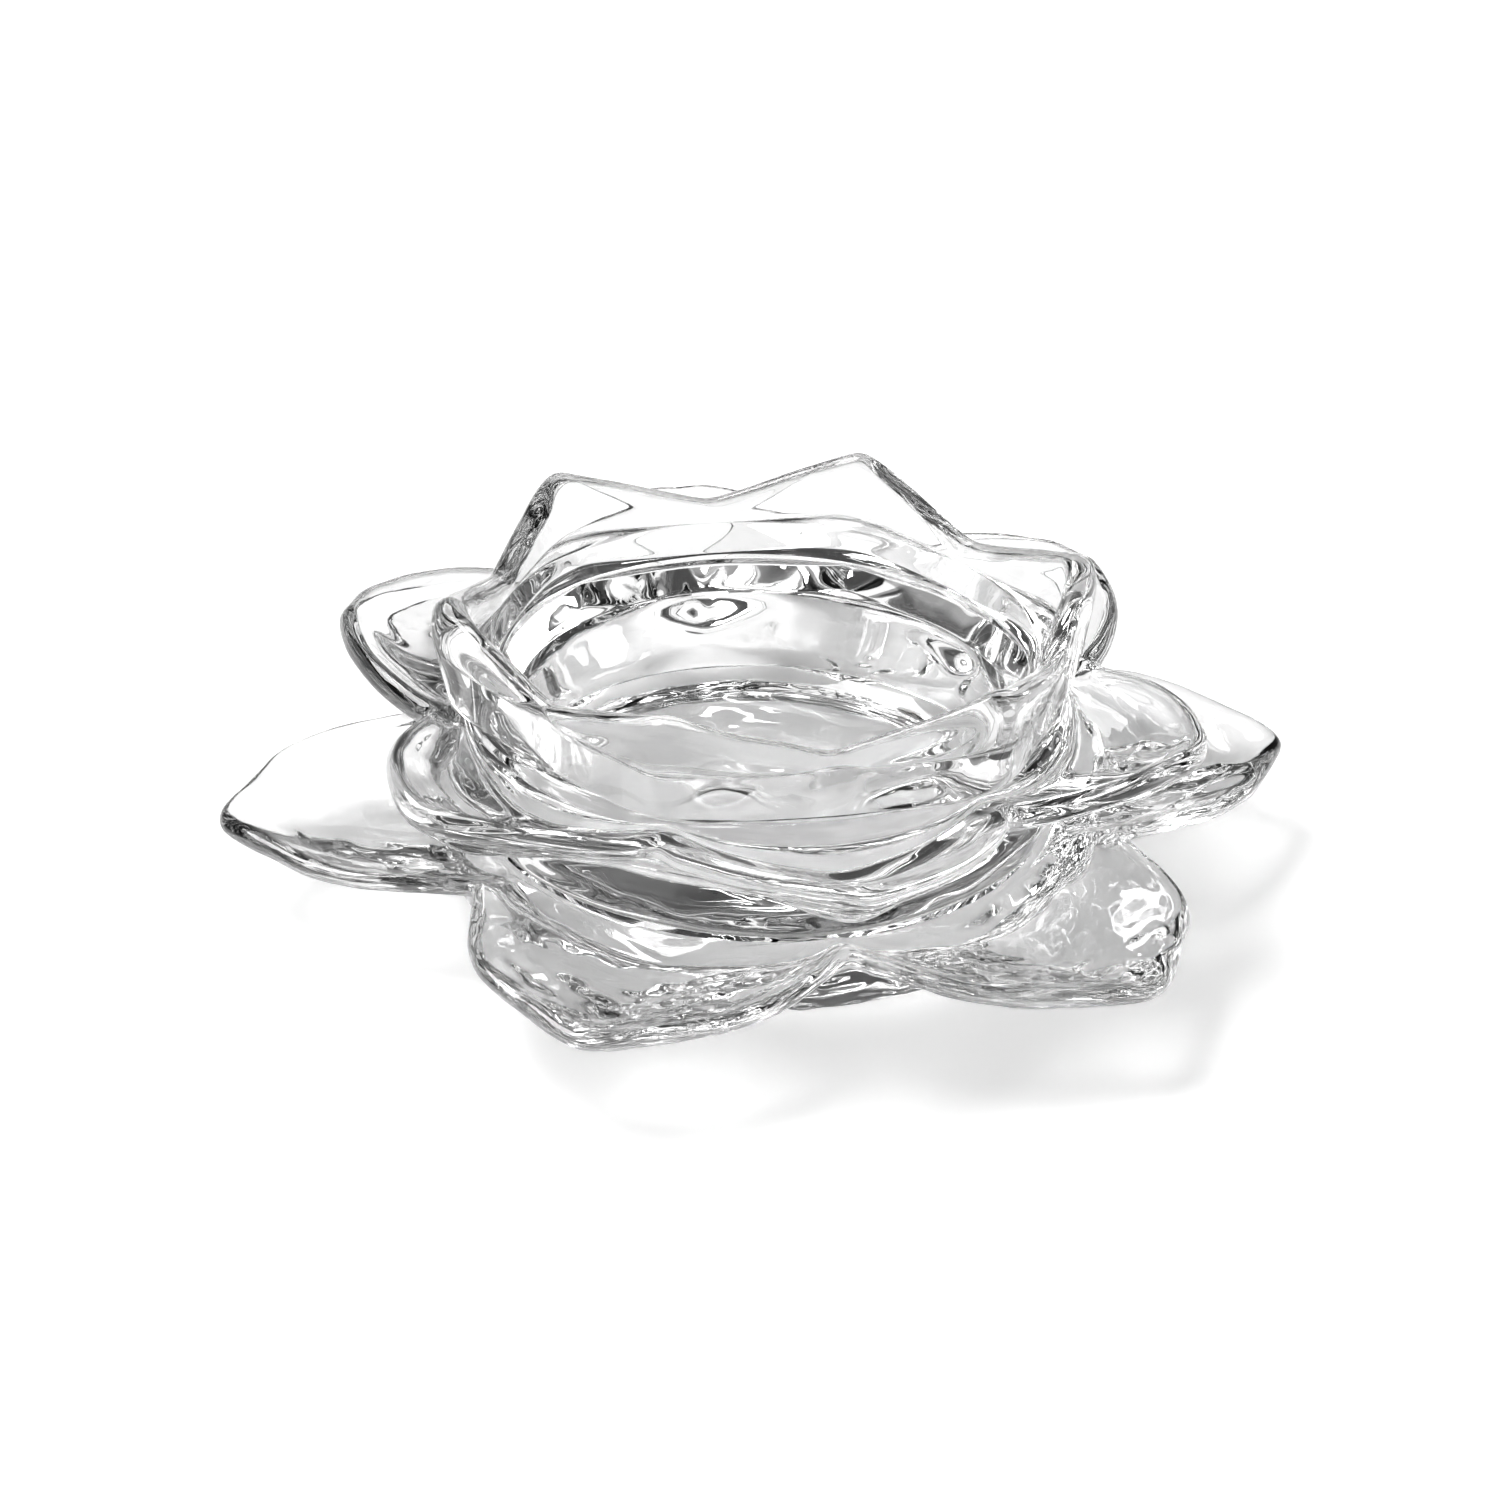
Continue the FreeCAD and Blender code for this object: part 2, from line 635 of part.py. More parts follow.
ring_inner = size["bowl_mouth_radius"] + size["bond_margin"]
ring_outer = size["spigot_radius"] - size["bond_margin"]
pieces = [
    make_lower_dish(),
    make_film("lower_bond_film", ZERO, FILM_EDGE, size["low_seat_height"]),
    make_middle_bowl(),
    make_film("upper_bond_film", ring_inner, ring_outer, SOCKET_FLOOR),
    make_crown(),
]
check_and_write(pieces)
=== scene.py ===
import math

import bpy
import numpy as np
from mathutils import Matrix, Vector


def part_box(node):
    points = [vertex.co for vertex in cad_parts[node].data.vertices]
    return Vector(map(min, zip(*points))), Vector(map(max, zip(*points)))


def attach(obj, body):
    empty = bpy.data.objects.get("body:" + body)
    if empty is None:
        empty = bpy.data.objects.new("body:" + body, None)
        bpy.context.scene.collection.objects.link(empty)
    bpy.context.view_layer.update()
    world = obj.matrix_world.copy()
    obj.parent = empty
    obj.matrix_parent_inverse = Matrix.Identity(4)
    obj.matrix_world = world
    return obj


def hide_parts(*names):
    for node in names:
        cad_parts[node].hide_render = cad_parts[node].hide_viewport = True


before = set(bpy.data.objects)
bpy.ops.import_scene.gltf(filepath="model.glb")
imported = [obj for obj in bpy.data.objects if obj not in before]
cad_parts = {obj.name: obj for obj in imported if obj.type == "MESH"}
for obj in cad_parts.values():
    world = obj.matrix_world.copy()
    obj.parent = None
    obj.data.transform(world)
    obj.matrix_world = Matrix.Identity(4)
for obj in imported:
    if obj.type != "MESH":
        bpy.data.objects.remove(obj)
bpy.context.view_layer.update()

bl_info = {
    "name": "Lotus candle bowl",
    "version": (1, 0, 0),
    "blender": (4, 5, 0),
    "location": "View3D > Sidebar > Lotus",
    "description": "Pressed-glass lotus tealight holder: three bonded tiers of petals",
    "category": "Object",
}

MM = 0.001
PETALS = 6
SECTOR = 2 * math.pi / PETALS


def solid_box(node):
    """Lowest and highest corner of a solid of the frame, in millimetres."""
    low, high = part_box(node)
    return low / MM, high / MM


DISH_HIGH = solid_box("lower_petal_dish")[1]
BOWL_LOW, BOWL_HIGH = solid_box("middle_petal_bowl")
CROWN_LOW = solid_box("petal_crown")[0]
FILM_LOW, FILM_HIGH = solid_box("lower_bond_film")
RING_LOW = solid_box("upper_bond_film")[0]


def length(name, description, millimetres):
    """A property for a length, kept in metres and shown in the scene's unit."""
    return bpy.props.FloatProperty(
        name=name, description=description, default=millimetres * MM, unit="LENGTH", precision=5)


class LotusDishSizes(bpy.types.PropertyGroup):
    """Sizes of the lower dish."""

    tip: length("Tip", "Axis to the tip of a lower petal", DISH_HIGH.x)
    half_width: length("Half width", "Half the width of a petal at its root", 19.8)
    rim: length("Rim height", "Stood-on surface to the top of the rims", DISH_HIGH.z)
    thickness: length("Rim thickness", "Thickness of the petals at their rims", 1.8)
    scoop: length("Scoop", "Rim down to the crease at its deepest", 5.0)
    keel: length("Keel", "Rim down to the keel at its deepest", 8.8)
    foot: length("Foot", "Outer radius of the foot", 31.0)
    hollow: length("Hollow", "Radius of the hollow in the foot", 25.0)
    hollow_depth: length("Hollow depth", "Depth of the hollow in the foot", 1.6)


class LotusBowlSizes(bpy.types.PropertyGroup):
    """Sizes of the middle tier."""

    tip: length("Tip", "Axis to the tip of a middle petal", BOWL_HIGH.y)
    half_width: length("Half width", "Half the width of a petal at its widest", 17.8)
    thickness: length("Rim thickness", "Thickness of the petals at their rims", 2.6)
    drop: length("Valley drop", "How far the rims fall from tips to valleys", 3.0)
    scoop: length("Scoop", "Rim down to the crease at its deepest", 2.5)
    keel: length("Keel", "Tip down to the keel at its deepest", 11.5)
    body: length("Body", "Radius of the round body", 30.0)
    floor_rise: length("Floor", "Glass under the floor of the bowl", 2.6)
    mouth: length("Mouth", "Radius of the bowl where the crown sits on it", 24.3)
    wall: length("Wall", "Radius of the bowl above the curve at its floor", 23.2)
    cove: length("Cove", "Curve between floor and wall", 4.2)


class LotusCrownSizes(bpy.types.PropertyGroup):
    """Sizes of the crown."""

    flat: length("Flat radius", "Axis to the flat sides at the belly", 29.7)
    wall: length("Wall", "Thickness of the crown's petals", 2.5)
    valley: length("Valley rise", "Joint up to the valleys of the lip", 9.1)
    ledge: length("Ledge radius", "Ledge inside the crown", 27.0)
    ledge_rise: length("Ledge rise", "Joint up to the ledge", 6.9)
    spigot: length("Spigot", "Radius of the round foot of the crown", 27.4)


class LotusPressing(bpy.types.PropertyGroup):
    """How uneven the pressed and fire-polished skin is."""

    wave_depth: length("Wave depth", "Height of the slow waves left by pressing", 0.4)
    wave_width: length("Wave width", "Distance from one slow wave to the next", 8.0)
    crown_wave_depth: length("Crown wave depth", "Height of the waves on the crown", 0.6)
    crown_wave_width: length("Crown wave width", "Distance between the waves on the crown", 9.0)
    dish_wave_depth: length("Dish wave depth", "Height of the waves on the lower petals", 0.5)
    dish_wave_width: length(
        "Dish wave width", "Distance between the waves on the lower petals", 4.8)
    seed: bpy.props.IntProperty(
        name="Seed", description="Picks another run of waves", default=7)


class LotusFinish(bpy.types.PropertyGroup):
    """Colours of the glass, the adhesive and the stage."""

    glass: bpy.props.StringProperty(
        name="Glass", description="Tint of the clear glass, sRGB hex", default="FDFDFD")
    adhesive: bpy.props.StringProperty(
        name="Adhesive", description="Tint of the cured adhesive, sRGB hex", default="FDFDFD")
    floor: bpy.props.StringProperty(
        name="Floor", description="Colour of the floor, sRGB hex", default="FAFAFA")


def linear(code):
    """An sRGB hex colour as linear red, green, blue and alpha."""
    parts = [int(code[i:i + 2], 16) / 255 for i in (0, 2, 4)]
    return [p / 12.92 if p <= 0.04045 else ((p + 0.055) / 1.055) ** 2.4 for p in parts] + [1.0]


def add_node(tree, kind, inputs=None, **settings):
    """Add a node with its settings, its values and the links into it."""
    node = tree.nodes.new(kind)
    for name, value in settings.items():
        setattr(node, name, value)
    for key, value in (inputs or {}).items():
        if isinstance(value, bpy.types.NodeSocket):
            tree.links.new(value, node.inputs[key])
        else:
            node.inputs[key].default_value = value
    return node


def new_material(name):
    material = bpy.data.materials.new(name)
    material.use_nodes = True
    material.node_tree.nodes.clear()
    return material, material.node_tree


def eased(at, stops, values):
    """A smooth curve through a table that never overshoots it."""
    step = np.diff(stops)
    rise = np.diff(values) / step
    slope = np.zeros(len(values))
    slope[0], slope[-1] = rise[0], rise[-1]
    before, after = 2 * step[1:] + step[:-1], step[1:] + 2 * step[:-1]
    same = rise[:-1] * rise[1:] > 0
    slope[1:-1][same] = (before + after)[same] / (
        before[same] / rise[:-1][same] + after[same] / rise[1:][same])
    at = np.clip(at, stops[0], stops[-1])
    k = np.clip(np.searchsorted(stops, at, side="right") - 1, 0, len(step) - 1)
    t = (at - stops[k]) / step[k]
    return (values[k] * (1 + 2 * t) * (1 - t) ** 2 + values[k + 1] * t * t * (3 - 2 * t)
            + step[k] * t * (1 - t) * (slope[k] * (1 - t) - slope[k + 1] * t))


# Each row is one cross-section of a petal, from its root to its tip: shares of the way along, of
# the half width, of the scoop depth, of the keel depth and of the fall of the rim.
LOWER_PETAL_SHARES = np.array((
    (0.00, 1.000, 0.90, 1.080, 0.0),
    (0.22, 0.955, 1.00, 1.060, 0.0),
    (0.44, 0.868, 0.80, 0.990, 0.0),
    (0.62, 0.775, 0.60, 0.850, 0.0),
    (0.76, 0.611, 0.48, 0.680, 0.0),
    (0.88, 0.354, 0.36, 0.480, 0.0),
    (1.00, 0.081, 0.12, 0.235, 0.0),
))
MIDDLE_PETAL_SHARES = np.array((
    (0.000, 0.900, 0.60, 1.00, 1.00),
    (0.275, 1.000, 0.60, 1.00, 1.00),
    (0.445, 0.960, 0.80, 0.97, 0.90),
    (0.590, 0.860, 1.30, 0.90, 0.62),
    (0.750, 0.690, 1.70, 0.78, 0.30),
    (0.895, 0.430, 1.50, 0.52, 0.08),
    (1.000, 0.140, 0.60, 0.22, 0.00),
))


class Petal:
    """A scooped petal: a V of glass along a radius, with a crease above and a keel below."""

    def __init__(
            self, shares, root, tip, half_width, rim, thickness, scoop, keel, drop, soft, hollow,
            rim_width):
        self.shares = shares
        self.root, self.tip, self.half_width = root, tip, half_width
        self.rim, self.thickness = rim, thickness
        self.scoop, self.keel, self.drop = scoop, keel, drop
        self.soft = soft
        self.hollow = hollow
        self.rim_width = rim_width

    def column(self, index, x):
        reach = (np.asarray(x) - self.root) / (self.tip - self.root)
        return eased(reach, self.shares[:, 0], self.shares[:, index])

    def outline(self, turn):
        """Distance from the axis to the petal's edge, for each turn away from its middle line."""
        x = np.linspace(self.root, self.tip, 600)
        y = self.half_width * self.column(1, x)
        angles = np.arctan2(y, x)
        return np.interp(np.abs(turn), angles[::-1], np.hypot(x, y)[::-1],
                         left=None, right=None)

    def faces(self, radius, turn):
        """Heights of the upper and the lower face."""
        x, y = radius * np.cos(turn), radius * np.sin(turn)
        width = self.half_width * self.column(1, x)
        side = np.maximum(width - self.thickness / 2, self.soft)
        across = np.minimum((np.sqrt(y * y + self.soft ** 2) - self.soft / 2) / side, 1)
        rim = self.rim - self.drop * self.column(4, x)
        dip = self.scoop * self.column(2, x)
        keel = self.rim - self.keel * self.column(3, x)
        lean = (self.half_width * self.column(1, x + 0.5) - width) / 0.5
        inward = np.maximum(side - np.abs(y), 0) / np.sqrt(1 + lean ** 2) / self.rim_width
        rounded = inward ** 2 / (1 + inward ** 2)
        upper = rim - dip * (self.hollow * rounded + (1 - self.hollow) * (1 - across))
        lower = keel + (rim - self.thickness - keel) * across
        return upper, lower


def evenly(points, count):
    """The same path with its points set at even distances along it."""
    steps = np.hypot(*np.diff(points, axis=0).T)
    way = np.concatenate(([0], np.cumsum(steps)))
    at = np.linspace(0, way[-1], count)
    return np.column_stack([np.interp(at, way, points[:, k]) for k in (0, 1)])


def stretch(groups, spacing):
    """How many points each part of the outline gets, from its longest copy and the spacing."""
    counts = []
    for column in zip(*groups):
        longest = max(np.hypot(*np.diff(points, axis=0).T).sum() for points, _ in column)
        counts.append(max(4, int(round(longest / spacing)) + 1))
    return counts


def soften(grid, along, across, ring):
    """Round the corners of the outline, and its change from one turn to the next."""
    for _ in range(along):
        if ring:
            grid = (np.roll(grid, 1, 1) + 2 * grid + np.roll(grid, -1, 1)) / 4
        else:
            inner = (grid[:, :-2] + 2 * grid[:, 1:-1] + grid[:, 2:]) / 4
            grid = np.concatenate((grid[:, :1], inner, grid[:, -1:]), axis=1)
    for _ in range(across):
        grid = (np.roll(grid, 1, 0) + 2 * grid + np.roll(grid, -1, 0)) / 4
    return grid


# How far each kind of skin follows the waves: a bonded face and the foot stay flat, and the
# underside of the lower petals, which cools against the mould, ripples most.
BONDED, FLAT, FREE, RIPPLED = -1.0, 0.0, 1.0, 3.0


def sector_grid(outline_at, turns, spacing, along, across, ring):
    """Outlines of the radial section at each turn, as one grid, and the skin of each row."""
    groups = [outline_at(turn) for turn in turns[:-1]]
    counts = stretch(groups, spacing)
    grid, skins = [], []
    for column in groups:
        path = [evenly(points, count)[:-1] for (points, _), count in zip(column, counts)]
        if not ring:
            path.append(column[-1][0][-1:])
        grid.append(np.concatenate(path))
    for (_, skin), count in zip(groups[0], counts):
        skins += [skin] * (count - 1)
    if not ring:
        skins.append(groups[0][-1][1])
    grid = soften(np.array(grid), along, across, ring)
    return np.concatenate((grid, grid[:1])), np.array(skins)


def sector_mesh(name, grid, turns, skins, ring):
    """One sixth of a tier, with its bonded faces and its waves marked."""
    columns, rows = grid.shape[:2]
    radius, height = grid[..., 0] * MM, grid[..., 1] * MM
    spots = np.stack((radius * np.cos(turns)[:, None], radius * np.sin(turns)[:, None], height), -1)
    if ring:
        vertices = spots.reshape(-1, 3)
        number = np.arange(columns * rows).reshape(columns, rows)
        number = np.concatenate((number, number[:, :1]), axis=1)
        skins = np.concatenate((skins, skins[:1]))
    else:
        poles = np.stack((spots[0, 0], spots[0, -1]))
        poles[:, :2] = 0
        vertices = np.concatenate((spots[:, 1:-1].reshape(-1, 3), poles))
        number = np.zeros((columns, rows), int)
        number[:, 1:-1] = np.arange(columns * (rows - 2)).reshape(columns, rows - 2)
        number[:, 0] = len(vertices) - 2
        number[:, -1] = len(vertices) - 1
    faces, marks = [], []
    for c in range(columns - 1):
        for r in range(number.shape[1] - 1):
            loop = (number[c, r], number[c + 1, r], number[c + 1, r + 1], number[c, r + 1])
            loop = list(dict.fromkeys(int(i) for i in loop))
            faces.append(loop)
            marks.append(bool(max(skins[r], skins[r + 1]) < FLAT))
    mesh = bpy.data.meshes.new(name)
    mesh.from_pydata(vertices.tolist(), [], faces)
    mesh.attributes.new("bonded", "BOOLEAN", "FACE").data.foreach_set("value", marks)
    waves = np.zeros(len(vertices), np.float32)
    for row in range(number.shape[1]):
        waves[number[:, row]] = max(skins[row], FLAT)
    mesh.attributes.new("waves", "FLOAT", "POINT").data.foreach_set("value", waves)
    return mesh


def petals_round_tree():
    """Geometry Nodes: repeat a sector round the axis, join it, and add the slow waves."""
    tree = bpy.data.node_groups.new("Petals round the axis", "GeometryNodeTree")
    tree.is_modifier = True
    for name, kind in (
            ("Sector", "Geometry"), ("Petals", "Int"), ("Wave depth", "Float"),
            ("Wave width", "Float"), ("Seed", "Int"), ("Glass", "Material"),
            ("Bonded face", "Material")):
        tree.interface.new_socket(name, in_out="INPUT", socket_type="NodeSocket" + kind)
    tree.interface.new_socket("Tier", in_out="OUTPUT", socket_type="NodeSocketGeometry")
    given = add_node(tree, "NodeGroupInput").outputs
    points = add_node(tree, "GeometryNodePoints", {"Count": given["Petals"]})
    step = add_node(
        tree, "ShaderNodeMath", {0: 2 * math.pi, 1: given["Petals"]}, operation="DIVIDE")
    index = add_node(tree, "GeometryNodeInputIndex")
    angle = add_node(
        tree, "ShaderNodeMath", {0: index.outputs[0], 1: step.outputs[0]}, operation="MULTIPLY")
    turn = add_node(
        tree, "FunctionNodeAxisAngleToRotation", {"Axis": (0, 0, 1), "Angle": angle.outputs[0]})
    copies = add_node(tree, "GeometryNodeInstanceOnPoints", {
        "Points": points.outputs[0], "Instance": given["Sector"], "Rotation": turn.outputs[0]})
    real = add_node(tree, "GeometryNodeRealizeInstances", {"Geometry": copies.outputs[0]})
    joined = add_node(
        tree, "GeometryNodeMergeByDistance", {"Geometry": real.outputs[0], "Distance": MM / 1000})
    place = add_node(tree, "GeometryNodeInputPosition")
    scale = add_node(tree, "ShaderNodeMath", {0: 1.0, 1: given["Wave width"]}, operation="DIVIDE")
    waves = add_node(tree, "ShaderNodeTexNoise", {
        "Vector": place.outputs[0], "W": given["Seed"], "Scale": scale.outputs[0], "Detail": 1.0,
        "Roughness": 0.55}, noise_dimensions="4D")
    level = add_node(tree, "ShaderNodeMath", {0: waves.outputs[0], 1: 0.5}, operation="SUBTRACT")
    free = add_node(tree, "GeometryNodeInputNamedAttribute", {"Name": "waves"}, data_type="FLOAT")
    smooth = add_node(
        tree, "GeometryNodeBlurAttribute", {"Value": free.outputs[0], "Iterations": 6},
        data_type="FLOAT")
    calm = add_node(
        tree, "ShaderNodeMath", {0: smooth.outputs[0], 1: free.outputs[0]}, operation="MINIMUM")
    share = add_node(
        tree, "ShaderNodeMath", {0: level.outputs[0], 1: calm.outputs[0]}, operation="MULTIPLY")
    lift = add_node(
        tree, "ShaderNodeMath", {0: share.outputs[0], 1: given["Wave depth"]}, operation="MULTIPLY")
    normal = add_node(tree, "GeometryNodeInputNormal")
    offset = add_node(
        tree, "ShaderNodeVectorMath", {0: normal.outputs[0], "Scale": lift.outputs[0]},
        operation="SCALE")
    waved = add_node(tree, "GeometryNodeSetPosition", {
        "Geometry": joined.outputs[0], "Offset": offset.outputs[0]})
    shaded = add_node(tree, "GeometryNodeSetShadeSmooth", {"Geometry": waved.outputs[0]})
    glass = add_node(tree, "GeometryNodeSetMaterial", {
        "Geometry": shaded.outputs[0], "Material": given["Glass"]})
    bonded = add_node(
        tree, "GeometryNodeInputNamedAttribute", {"Name": "bonded"}, data_type="BOOLEAN")
    faces = add_node(tree, "GeometryNodeSetMaterial", {
        "Geometry": glass.outputs[0], "Selection": bonded.outputs[0],
        "Material": given["Bonded face"]})
    add_node(tree, "NodeGroupOutput", {"Tier": faces.outputs[0]})
    return tree


def whole_tier(name, mesh, node, wave_depth, wave_width, seed):
    """Turn a sector into the whole tier, as a plain mesh that stands for its solid."""
    scene = bpy.context.scene
    tree = bpy.data.node_groups.get("Petals round the axis") or petals_round_tree()
    tier = bpy.data.objects.new(name, mesh)
    scene.collection.objects.link(tier)
    values = {
        "Petals": PETALS,
        "Wave depth": wave_depth,
        "Wave width": wave_width,
        "Seed": seed,
        "Glass": pressed_glass(),
        "Bonded face": bonded_face(),
    }
    round_axis = tier.modifiers.new("Petals round the axis", "NODES")
    round_axis.node_group = tree
    for item in tree.interface.items_tree:
        if item.in_out == "INPUT" and item.name in values:
            round_axis[item.identifier] = values[item.name]
    evaluated = tier.evaluated_get(bpy.context.evaluated_depsgraph_get())
    whole = bpy.data.meshes.new_from_object(evaluated)
    whole.name = name
    tier.modifiers.clear()
    tier.data = whole
    bpy.data.meshes.remove(mesh)
    if not whole.polygons:
        raise RuntimeError(f"{name} has no faces")
    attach(tier, "root")
    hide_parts(node)
    return tier


def pressed_glass():
    """Clear soda-lime glass, pressed and fire-polished: no colour, a skin without a texture that
    the eye can see, and faint ripples that bend what shows through it."""
    name = "Fire-polished pressed glass"
    if name in bpy.data.materials:
        return bpy.data.materials[name]
    finish = bpy.context.scene.lotus_finish
    material, tree = new_material(name)
    place = add_node(tree, "ShaderNodeTexCoord")
    ripple_width = 3.0 * MM
    ripple = add_node(tree, "ShaderNodeTexNoise", {
        "Vector": place.outputs["Object"], "Scale": 1 / ripple_width, "Detail": 1.0})
    bump = add_node(tree, "ShaderNodeBump", {
        "Height": ripple.outputs[0], "Strength": 1.0, "Distance": 0.02 * MM})
    shader = add_node(tree, "ShaderNodeBsdfPrincipled", {
        "Base Color": linear(finish.glass), "Roughness": 0.0, "IOR": 1.52,
        "Transmission Weight": 1.0, "Normal": bump.outputs[0]})
    add_node(tree, "ShaderNodeOutputMaterial", {"Surface": shader.outputs[0]})
    return material


def bonded_face():
    """Ground glass wetted by clear adhesive: the two have the same index, so the face vanishes."""
    name = "Glass face wetted by adhesive"
    if name in bpy.data.materials:
        return bpy.data.materials[name]
    material, tree = new_material(name)
    shader = add_node(tree, "ShaderNodeBsdfTransparent", {"Color": (1, 1, 1, 1)})
    add_node(tree, "ShaderNodeOutputMaterial", {"Surface": shader.outputs[0]})
    return material


def cured_adhesive():
    """Light-cured acrylic, as clear as the glass: only the thin edge of the film shows."""
    name = "Light-cured clear adhesive"
    if name in bpy.data.materials:
        return bpy.data.materials[name]
    finish = bpy.context.scene.lotus_finish
    material, tree = new_material(name)
    shader = add_node(tree, "ShaderNodeBsdfTransparent", {"Color": linear(finish.adhesive)})
    add_node(tree, "ShaderNodeOutputMaterial", {"Surface": shader.outputs[0]})
    return material


def sector_turns(count):
    """Turns from one edge of a sector to the other."""
    return np.linspace(-SECTOR / 2, SECTOR / 2, count + 1)


def nose(edge, upper, lower, depth):
    """The round edge of a petal, from its lower face to its upper one."""
    turn = np.linspace(-math.pi / 2, math.pi / 2, 17)
    middle, half = (upper + lower) / 2, (upper - lower) / 2
    return np.column_stack((edge - depth + depth * np.cos(turn), middle + half * np.sin(turn)))


def in_mm(group):
    """The lengths of a property group, in millimetres."""
    return {key: getattr(group, key) / MM for key in group.bl_rna.properties.keys()
            if key not in ("rna_type", "name")}


class LOTUS_OT_lower_dish(bpy.types.Operator):
    """Make the lower dish: a hollow foot, a ground seat and six scooped petals"""

    bl_idname = "lotus.lower_dish"
    bl_label = "Lower dish"

    def execute(self, context):
        size = in_mm(context.scene.lotus_dish)
        seat, seat_edge = FILM_LOW.z, FILM_HIGH.x + 0.5
        petal = Petal(
            LOWER_PETAL_SHARES, size["hollow"], size["tip"], size["half_width"], size["rim"],
            size["thickness"], size["scoop"], size["keel"], 0.0, 0.8, 0.35, 2.2)
        edge_round = size["thickness"] * 0.8

        def outline(turn):
            edge = float(petal.outline(turn))
            hollow, depth = size["hollow"], size["hollow_depth"]
            bottom = np.array((
                (0, depth), (hollow - depth, depth), (hollow, 0), (size["foot"], 0)))
            r = np.linspace(size["foot"], edge - edge_round, 120)
            upper, lower = petal.faces(r, turn)
            flank = (r - size["foot"]) * 2.17
            under = np.column_stack((r, np.minimum(lower, flank)))
            round_edge = nose(edge, upper[-1], under[-1, 1], edge_round)
            r = np.linspace(edge - edge_round, seat_edge, 120)
            upper, lower = petal.faces(r, turn)
            skirt = seat - (r - seat_edge - 0.5) * 0.53
            skirt = np.where(r < 33, np.minimum(skirt, seat), -1)
            top = np.minimum(np.maximum(upper, skirt), seat + (r - seat_edge))
            over = np.column_stack((r, top))
            rest = np.array(((seat_edge, seat), (FILM_HIGH.x, seat)))
            glued = np.array(((FILM_HIGH.x, seat), (0, seat)))
            return [(bottom, FLAT), (under, RIPPLED), (round_edge, FREE), (over, FREE),
                    (rest, FREE), (glued, BONDED)]

        turns = sector_turns(56)
        grid, skins = sector_grid(outline, turns, 0.45, 8, 3, False)
        mesh = sector_mesh("dish_sector", grid, turns, skins, False)
        pressing = context.scene.lotus_pressing
        whole_tier("pressed_dish", mesh, "lower_petal_dish", pressing.dish_wave_depth,
                   pressing.dish_wave_width, pressing.seed)
        return {"FINISHED"}


# Radius to which the joint under the crown is drawn as wetted. The film's own solid ends inside it.
COVERED = 29.0

# Height of the rounded lip of the crown.
LIP_ROUND = 1.7


class LOTUS_OT_middle_bowl(bpy.types.Operator):
    """Make the round bowl with its six shorter petals and the socket for the crown"""

    bl_idname = "lotus.middle_bowl"
    bl_label = "Middle bowl"

    def execute(self, context):
        size = in_mm(context.scene.lotus_bowl)
        base, base_edge = BOWL_LOW.z, FILM_HIGH.x
        floor = base + size["floor_rise"]
        socket_floor = RING_LOW.z
        socket = context.scene.lotus_crown.spigot / MM + 0.2
        shoulder = 19.9
        petal = Petal(
            MIDDLE_PETAL_SHARES, 18.0, size["tip"], size["half_width"], BOWL_HIGH.z + 0.5,
            size["thickness"], size["scoop"], size["keel"], size["drop"], 0.8, 1.0, 3.0)
        edge_round = size["thickness"] * 0.7
        body, mouth = size["body"], size["mouth"]

        def outline(turn):
            edge = float(petal.outline(turn))
            r = np.linspace(body, edge - edge_round, 120)
            upper, lower = petal.faces(r, turn)
            bottom = np.array(((0, base), (base_edge, base)))
            waist = np.array((
                (base_edge, base), (body, min(base + size["cove"], lower[0])), (body, lower[0])))
            under = np.column_stack((r, lower))
            round_edge = nose(edge, upper[-1], lower[-1], edge_round)
            over = np.column_stack((r, upper))[::-1]
            step = np.array((
                (body, upper[0]), (body, shoulder - 0.5), (body - 0.5, shoulder),
                (COVERED, shoulder)))
            seat = np.array((
                (COVERED, shoulder), (socket, shoulder), (socket, socket_floor),
                (mouth, socket_floor)))
            bend = np.linspace(0, math.pi / 2, 12)
            middle = size["wall"] - size["cove"]
            inside = np.concatenate((
                np.array(((mouth, socket_floor), (size["wall"], floor + size["cove"]))),
                np.column_stack((middle + size["cove"] * np.cos(bend),
                                 floor + size["cove"] * (1 - np.sin(bend)))),
                np.array(((0, floor),))))
            return [(bottom, BONDED), (waist, FREE), (under, FREE), (round_edge, FREE),
                    (over, FREE), (step, FREE), (seat, BONDED), (inside, FREE)]

        turns = sector_turns(48)
        grid, skins = sector_grid(outline, turns, 0.7, 5, 3, False)
        mesh = sector_mesh("bowl_sector", grid, turns + SECTOR / 2, skins, False)
        pressing = context.scene.lotus_pressing
        whole_tier("pressed_bowl", mesh, "middle_petal_bowl", pressing.wave_depth,
                   pressing.wave_width, pressing.seed + 20)
        return {"FINISHED"}


def hexagon(turn, flat, sharpness):
    """Distance from the axis to a hexagon with round corners, one of its corners at turn 0."""
    normals = SECTOR * (np.arange(PETALS) + 0.5)
    facing = np.maximum(np.cos(turn - normals), 0)
    return flat / (facing ** sharpness).sum() ** (1 / sharpness)


